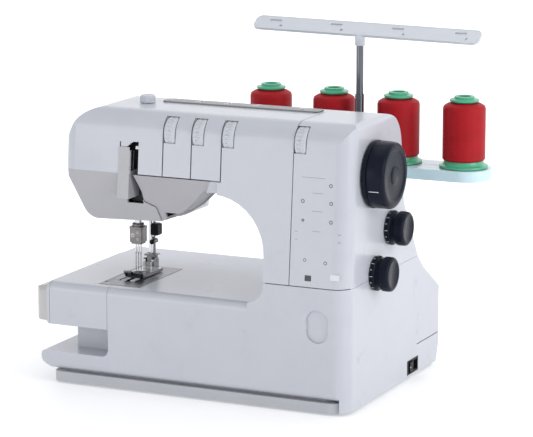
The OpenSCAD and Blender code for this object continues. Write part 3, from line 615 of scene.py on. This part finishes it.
for i in range(4):
    x = POLE_AXIS[0] + CONE_PITCH * (i - 1.5)
    base = CONE_FOOT_Z
    core = Solid()
    core.turned([(2.86, base + 0.5), (25.9, base + 0.5), (26.4, base + 0.9), (26.5, base + 2.2),
                 (26.1, base + 2.9), (25.2, base + 3.2), (23.2, base + 3.8), (22.3, base + 4.8),
                 (21.6, base + 6.6), (21.4, base + 8.0), (15.0, base + 8.1), (12.0, base + 71),
                 (12.2, base + 71.4), (15.6, base + 72), (16.0, base + 72.5), (16.0, base + 73.6),
                 (15.5, base + 74.2), (11.6, base + 74.6), (11.0, base + 75.1),
                 (11.0, base + 76.9), (10.5, base + 77.4), (7.5, base + 77.4), (7.0, base + 76.9),
                 (7.0, base + 66), (2.86, base + 65), (2.86, base + 0.5)], "z", (x, CONE_Y), 96)
    core.make(f"cone_core_{i + 1}_turned", mint, f"cone_{i + 1}",
              [f"cone_core_{i + 1}"], 35)
    package = Solid()
    side = [(15.2, base + 8.1), (19.6, base + 8.15), (22.0, base + 8.5), (22.9, base + 9.4)]
    side += [(23.1, base + 10 + 0.5 * k) for k in range(106)]
    side += [(23.1 - 0.025 * k * k, base + 62.8 + 0.7 * k) for k in range(1, 7)]
    side += [(21.0, base + 67.8), (18.6, base + 69.3), (15.6, base + 70.3), (12.2, base + 70.8)]
    package.turned(side, "z", (x, CONE_Y), 220, wound)
    package.make(f"cone_thread_{i + 1}_wound", thread_red, f"cone_{i + 1}",
                 [f"cone_thread_{i + 1}"], 60)
    pad = Solid()
    pad.turned([(3.4, base + 0.03), (24.2, base + 0.03), (24.6, base + 0.2), (24.2, base + 0.42),
                (20, base + 0.47), (3.4, base + 0.47), (3.4, base + 0.03)], "z", (x, CONE_Y), 72)
    pad.make(f"cone_pad_{i + 1}", rubber, "machine_body")

# ---------------------------------------------------------------- feet and pressure dial
feet = Solid()
for x in (-326, -24):
    for y in (26, 182):
        feet.turned([(0, 0.35), (2.2, 0.35), (2.6, 0), (7.9, 0), (8.6, 0.2), (9, 0.7), (9, 1.3),
                     (8.7, 1.8), (8.2, 2), (0, 2)], "z", (x, y), 72)
feet.make("rubber_feet_moulded", rubber, "machine_body", ["rubber_feet"])
dial = Solid()
dial.turned([(0, 280), (2.6, 280), (3, 280.4), (3, 300.5), (7.4, 300.5), (8.1, 300.8),
             (8.4, 301.5), (8.4, 303), (8.35, 306.6), (8.0, 307.7), (7.3, 308.3), (6.4, 308.5),
             (5.9, 308.3), (5.5, 307.9), (1.2, 307.9), (0.8, 308.3), (0, 308.4)],
            "z", (-263, 72), 240, ribs(30, 0.3, 8.15))
dial.make("pressure_dial_ribbed", clear_white, "pressure_dial", ["pressure_dial"], 40)

# ---------------------------------------------------------------- needle clamp and needles
clamp = Solid()
clamp.block((-280.6, 59.4, 149), (-265.4, 72.6, 164.6), 1.6)
clamp.block((-281, 59, 163.4), (-265, 73, 166), 2.2)
clamp.block((-279.4, 60.2, 147), (-266.6, 71.8, 149.4), 1.8)
clamp.turned([(4.02, 165.6), (6.1, 165.6), (6.5, 166.2), (6.5, 168.7), (6.0, 169.5),
              (4.02, 169.5), (4.02, 165.6)], "z", NEEDLE_AXIS, 72)
clamp.make("needle_clamp_body", dark_steel, "needle_bar", ["needle_clamp"], 30, 0.25)
screws = Solid()
for x, z, r in ((-276.4, 156.4, 2.3), (-270.4, 160.2, 1.5), (-270.4, 152.8, 1.5)):
    screws.turned([(0, 59.9), (r * 0.35, 59.9), (r * 0.4, 59.5), (r * 0.5, 59.1), (r * 0.85, 59.02),
                   (r, 59.15), (r, 60.2), (0, 60.2)], "y", (z, x), 48)
screws.make("needle_clamp_screws", steel, "needle_bar")


def grooved(angle, radius, along):
    """The long groove in front of a needle's blade."""
    in_front = abs(angle - 1.5 * math.pi) < 0.5
    return radius * (0.62 if 120.2 < along < 135.5 and in_front else 1)


needles = Solid()
for i in (-1, 0, 1):
    needles.turned([(0, 116), (0.1, 116.1), (0.3, 117.4), (0.5, 119.2), (0.6, 121), (0.6, 135),
                    (0.7, 136), (0.98, 137.2), (1.0, 138.4), (1.0, 157.6), (0.7, 158), (0, 158)],
                   "z", (NEEDLE_AXIS[0] + NEEDLE_PITCH * i, NEEDLE_AXIS[1]), 32, grooved)
needles.make("needles_ground", chrome, "needle_bar", ["needles"])
collar = Solid()
collar.block((-270.4, 88.2, 152.4), (-261.2, 100, 163.6), 1.4)
collar.block((-269.6, 89, 151.6), (-262, 99.2, 164.4), 1.8)
collar.make("presser_bar_collar", black, "presser_bar", (), 30, 0.3)
cap = Solid()
cap.turned([(0, 83.9), (1.3, 83.9), (2.2, 83.5), (2.75, 82.7), (2.75, 81.4), (2.2, 80.8), (0, 80.7)],
           "y", (146, -265), 48, ribs(12, 0.25, 2.5))
cap.make("foot_clamp_screw_cap", black, "presser_bar")

# ---------------------------------------------------------------- foot, needle plate
lip = Solid()
for toe in ((-282.8, -279, -275.1), (-270.9, -266, -260.2)):
    lip.ribbon([(x, 50.1 - 0.0012 * (x + 271.5) ** 2, 118.9) for x in toe],
               [(0, -0.45, 0.89)] * 3, (0, 0.89, 0.45), 0.8, 0.3, 0.12)
lip.make("presser_foot_polished_toe", chrome, "presser_foot")
marks = Solid()
for i in range(7):
    long = 5.5 if i % 2 == 0 else 3.5
    marks.block((-254.8 + 1.35 * i, 62 - long, 110.86), (-254.5 + 1.35 * i, 62, 110.98), 0.1, "z")
for y in (64.2, 67.6):
    marks.block((-258.4, y, 110.86), (-247.6, y + 0.3, 110.98), 0.1, "z")
marks.make("needle_plate_engraved_lines", dark_ink, "machine_body")
plate_screws = Solid()
for y in (24, 110):
    plate_screws.turned([(0, 110.0), (0.55, 110.0), (0.6, 110.55), (1.9, 110.75), (2.4, 110.6),
                         (2.45, 109.4), (2.45, 108.4), (0, 108.4)], "z", (-289.5, y), 48)
plate_screws.make("needle_plate_screws", steel, "machine_body")


# ---------------------------------------------------------------- thread path and panel marks
def front_y(z):
    """Where the leaning front of the upper casing is at a height."""
    return LEAN * (z - SEAM_Z)


channel = Solid()
channel.prism([(front_y(238) + 5.4, 238), (front_y(238) + 6.2, 238),
               (front_y(257) + 6.8, 257.4), (front_y(257) + 6.0, 257.4)], "x", -252.4, -250.8)
channel.make("thread_channel_plate", dark_steel, "machine_body", (), 30, 0.15)
# Dark sheets behind the thread channel and under the rib: painted shadow where these recesses lie in
# shade.
shadow_sheets = Solid()
shadow_sheets.prism([(31, 200.8), (33, 200.8), (33, 206.8), (31, 206.8)], "x", -261.8, -243.2)
shadow_sheets.prism([(31, 207), (33, 207), (33, 267.6), (31, 267.6)], "x", -264.6, -248.3)
shadow_sheets.prism([(35.4, 207.5), (35.9, 207.5), (35.9, 266.4), (35.4, 266.4)], "x", -252.5, -242.7)
shadow_sheets.make("thread_channel_shadow_sheets", shadow, "machine_body")

FACE = Vector((0, -1, LEAN)).normalized()
RISE = Vector((0, LEAN, 1)).normalized()


def flat_mark(target, x, z, outline, proud=0.1):
    """A thin printed shape on the upper front face, from an outline of (x, up) points."""
    centre = Vector((x, front_y(z), z))
    count = len(outline)
    points = [centre + Vector((u, 0, 0)) + RISE * w - FACE * 0.3 for u, w in outline]
    points += [centre + Vector((u, 0, 0)) + RISE * w + FACE * proud for u, w in outline]
    faces = [list(range(count)), list(range(count, 2 * count))[::-1]]
    faces += [[i, (i + 1) % count, count + (i + 1) % count, count + i] for i in range(count)]
    target.add(points, faces)


def circle(radius, steps=28):
    """The outline of a printed dot."""
    return [(radius * math.cos(2 * math.pi * k / steps), radius * math.sin(2 * math.pi * k / steps))
            for k in range(steps)]


def bar(wide, high):
    """The outline of a printed line."""
    return [(-wide / 2, -high / 2), (wide / 2, -high / 2), (wide / 2, high / 2), (-wide / 2, high / 2)]


strip = Solid()
flat_mark(strip, -259.6, 235, rounded([(-6.6, -27.6, 1.2), (6.6, -27.6, 1.2), (6.6, 27.2, 0.6),
                                       (-6.6, 27.2, 0.6)], 5), 0.35)
strip.make("thread_guide_strip", guide_grey, "machine_body", (), 30, 0.2)

printed = Solid()
for x, z, r in ((-52.5, 221.6, 2.1), (-22, 239, 2.1), (-21, 221, 2.1), (-20.5, 202, 2.1),
                (-51.7, 202, 1.7), (-48, 161.5, 1.8), (-25, 160, 2.0)):
    flat_mark(printed, x, z, circle(r))
for x, z, wide in ((-41.7, 246, 25.5), (-36, 230.5, 12), (-36, 212, 12), (-36, 191.5, 9)):
    flat_mark(printed, x, z, bar(wide, 0.35))
for x, z in ((-58.5, 190), (-58.5, 182), (-10.5, 190), (-10.5, 182)):
    flat_mark(printed, x, z, bar(2.6, 0.5))
printed.make("panel_printed_marks", ink, "machine_body")
centres = Solid()
for x, z in ((-52.5, 221.6), (-22, 239), (-21, 221), (-20.5, 202), (-48, 161.5), (-25, 160)):
    flat_mark(centres, x, z, circle(0.8), 0.14)
flat_mark(centres, -14, 146, rounded([(-5, -3, 0.8), (5, -3, 0.8), (5, 3, 0.8), (-5, 3, 0.8)], 4), 0.12)
centres.make("panel_pale_marks", pale_ink, "machine_body")
square = Solid()
flat_mark(square, -43.7, 143, rounded([(-3.6, -3, 0.6), (3.6, -3, 0.6), (3.6, 3, 0.6), (-3.6, 3, 0.6)], 4))
square.make("panel_dark_square", dark_ink, "machine_body")

# ---------------------------------------------------------------- top, stand, inlet, rear
eyes = Solid()
for x, y in [(-x - 4, y) for x in (206.5, 173.5, 139) for y in (87, 95)] + [(-90, 91.5), (-246, 91.5)]:
    eyes.turned([(1.62, 301.2), (2.9, 301.2), (2.9, 301.7), (2.6, 302.1), (2.1, 302.2),
                 (1.7, 302.0), (1.62, 301.6), (1.62, 301.2)], "z", (x, y), 40)
eyes.make("top_thread_plate_eyelets", chrome, "machine_body")
rings = Solid()
for z in (296.5, 299.5):
    rings.turned([(4.7, z), (5.0, z + 0.2), (5.05, z + 0.6), (5.0, z + 1.0), (4.7, z + 1.2),
                  (4.7, z)], "z", POLE_AXIS, 64)
rings.make("pole_tube_rings", pole_chrome, "machine_body")
pins = Solid()
for y, z in ((187, 11), (192, 11), (189.5, 16)):
    pins.rod("x", 0.9, -13.9, -4, (y, z), 24)
pins.make("inlet_pins", brass, "machine_body")
dots = Solid()
dots.block((1.28, 171.9, 12.9), (1.5, 174.1, 14.1), 0.2, "x")
dots.make("rocker_mark", pale_ink, "power_switch")
rear_screws = Solid()
for x, y, z in ((-300, 152, 250), (-110, 152, 250), (-200, 152, 215)):
    rear_screws.turned([(0, y - 0.9), (0.7, y - 0.9), (1.4, y - 0.4), (2.9, y - 0.1), (3.2, y - 0.3),
                        (3.3, y - 1.2), (0, y - 1.2)], "y", (z, x), 48)
for x, z in ((-82, 45), (-12, 45), (-82, 76), (-12, 76)):
    rear_screws.turned([(0, 263.6), (0.7, 263.6), (1.4, 264.0), (2.9, 264.35), (3.2, 264.2),
                        (3.3, 263.2), (0, 263.2)], "y", (z, x), 48)
rear_screws.make("rear_screws", steel, "machine_body")
